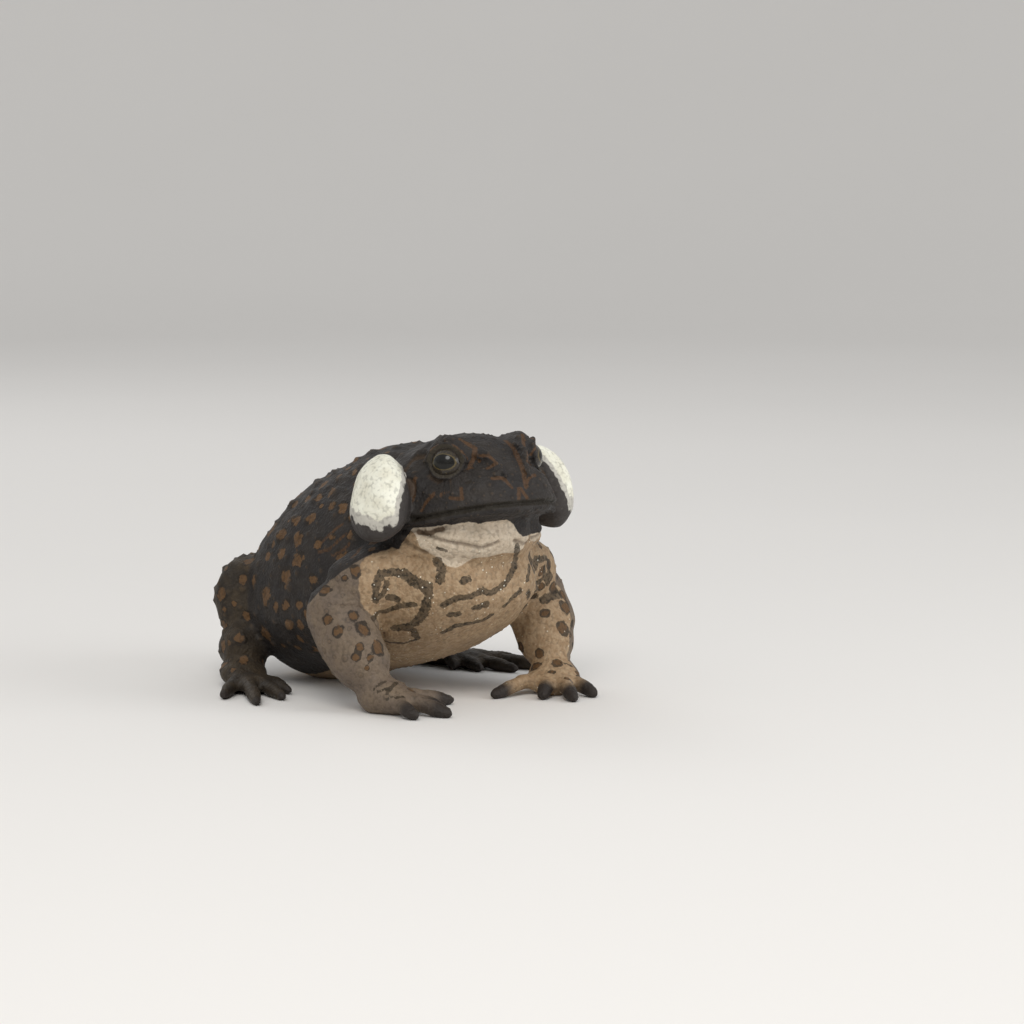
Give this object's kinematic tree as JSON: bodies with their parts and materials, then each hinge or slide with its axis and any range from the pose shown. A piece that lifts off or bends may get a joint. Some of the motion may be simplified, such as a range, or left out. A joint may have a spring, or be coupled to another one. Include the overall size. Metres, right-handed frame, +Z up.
{
  "type": "cane toad, sitting upright",
  "caption": "Life-size still model of a large cane toad sitting upright, with pale shoulder glands, warty dark back and mottled tan belly.",
  "frame": {"origin": "on the floor that the toad sits on, in the middle of its length and width", "axes": "the toad faces -Y, its right side is towards -X, +Z is up"},
  "size_m": [0.1478, 0.149, 0.1031],
  "materials": {
    "back_skin": "dry and warty, dark grey-brown with brown spots",
    "arm_skin": "dry, grey-brown with ringed brown spots",
    "belly_skin": "fine-grained, pale beige to tan with dark marbling",
    "gland_skin": "pale and pored above, dark below",
    "eardrum_skin": "thin, taut and smooth",
    "eye_surface": "wet gloss over a dark iris with a thin gold rim"
  },
  "bodies": {
    "root": {"trunk": "back_skin", "head": "back_skin", "lower_jaw": "back_skin", "throat": "belly_skin", "parotoid_right": "gland_skin", "parotoid_left": "gland_skin", "upper_arm_right": "arm_skin", "upper_arm_left": "arm_skin", "forearm_right": "arm_skin", "forearm_left": "arm_skin", "hand_right": "arm_skin", "hand_left": "arm_skin", "thigh_right": "back_skin", "thigh_left": "back_skin", "shank_right": "back_skin", "shank_left": "back_skin", "foot_right": "back_skin", "foot_left": "back_skin", "eye_right": "eye_surface", "eye_left": "eye_surface", "eardrum_right": "eardrum_skin", "eardrum_left": "eardrum_skin"}
  },
  "joints": []
}
